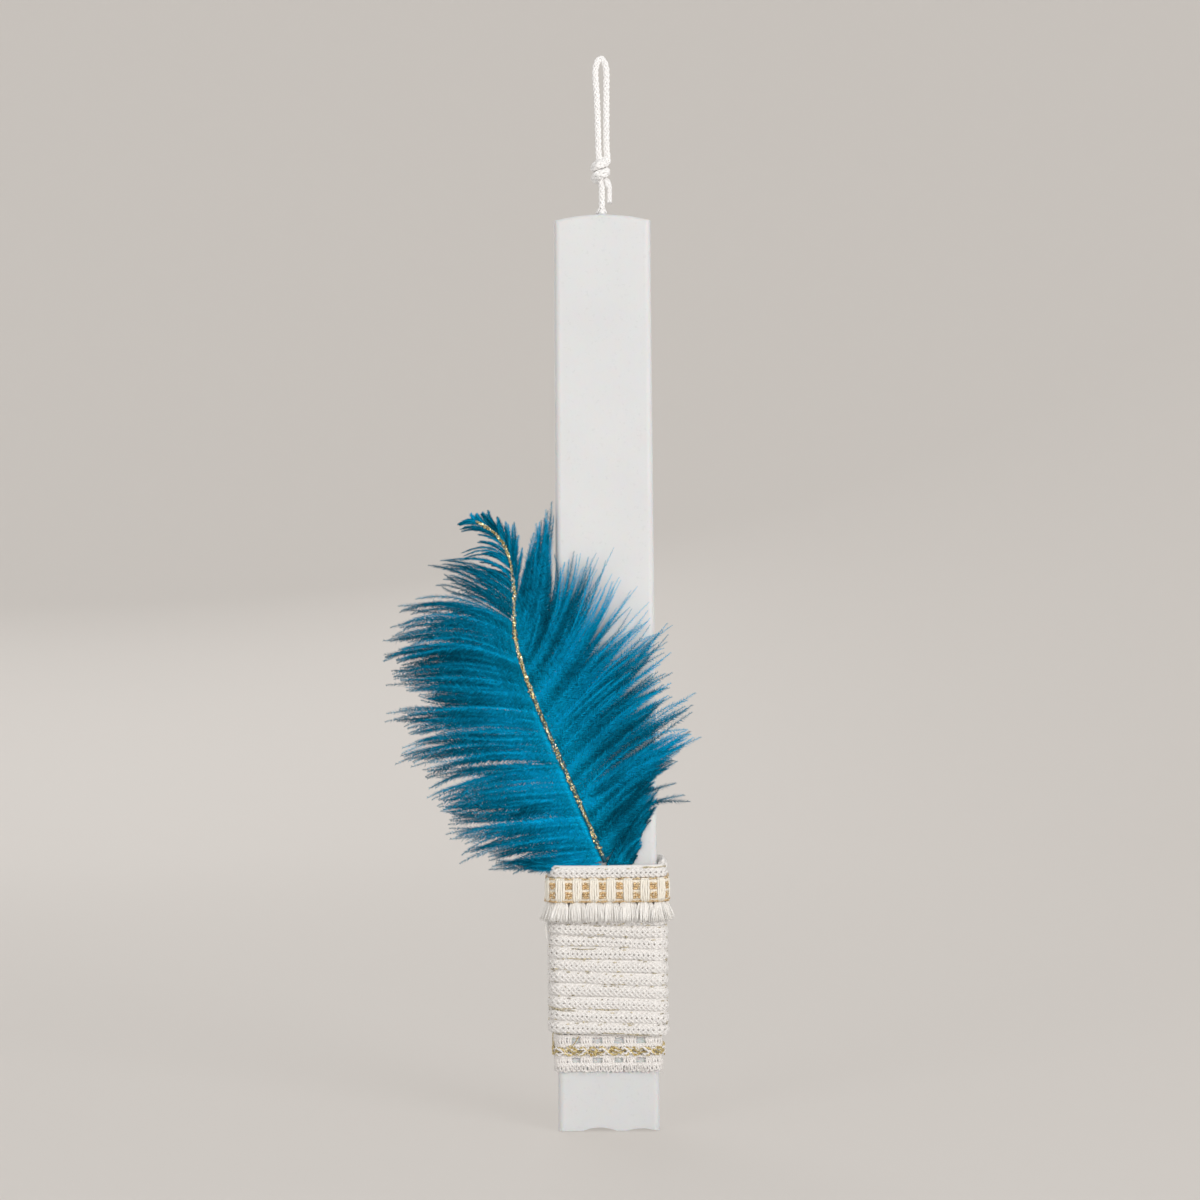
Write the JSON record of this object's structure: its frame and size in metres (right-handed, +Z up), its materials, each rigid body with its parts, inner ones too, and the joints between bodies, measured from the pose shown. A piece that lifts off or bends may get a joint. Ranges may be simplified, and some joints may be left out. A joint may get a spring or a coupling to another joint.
{
  "type": "easter candle",
  "caption": "Tall flat wax candle with a looped wick to hang it by, dressed with wound yarn, a fringed braid, a lace band and a dyed feather.",
  "frame": {"origin": "the point of the wick loop that bears on a pin or hook, inside the top of the loop", "axes": "+Z up along the candle towards the wick loop, +X to the right of the dressed face, which looks to -Y"},
  "size_m": [0.097, 0.0238, 0.3529],
  "materials": {
    "wax": "satin",
    "cotton_wick": "matte",
    "yarn": "matte",
    "braid_cotton": "matte",
    "gold_thread": "satin",
    "lace_cotton": "matte",
    "feather_teal": "satin",
    "quill": "satin",
    "glue": "gloss",
    "glitter": "gloss"
  },
  "bodies": {
    "hanging_loop": {"wick_loop": "cotton_wick"},
    "candle": {"candle_body": "wax", "wick_core": "cotton_wick", "yarn_wrap": "yarn", "braid_tape": "braid_cotton", "braid_ribs": "braid_cotton", "braid_squares": "gold_thread", "braid_threads": "gold_thread", "braid_fringe": "braid_cotton", "lace_band": "lace_cotton", "lace_gold_thread": "gold_thread", "quill_stub": "quill", "quill_glue": "glue"},
    "feather": {"feather_shaft": "quill", "feather_left_vane": "feather_teal", "feather_right_vane": "feather_teal", "feather_glitter": "glitter"}
  },
  "joints": [
    {"name": "wick_bend", "type": "hinge", "parent": "hanging_loop", "child": "candle", "pos_m": [0, 0, -0.048], "axis": [1, 0, 0], "range_deg": [-90, 90]},
    {"name": "feather_flex", "type": "hinge", "parent": "candle", "child": "feather", "pos_m": [-0.0006, -0.00695, -0.26296], "axis": [1, 0, 0], "range_deg": [0, 30], "stiffness_Nm_per_rad": 0.003}
  ]
}
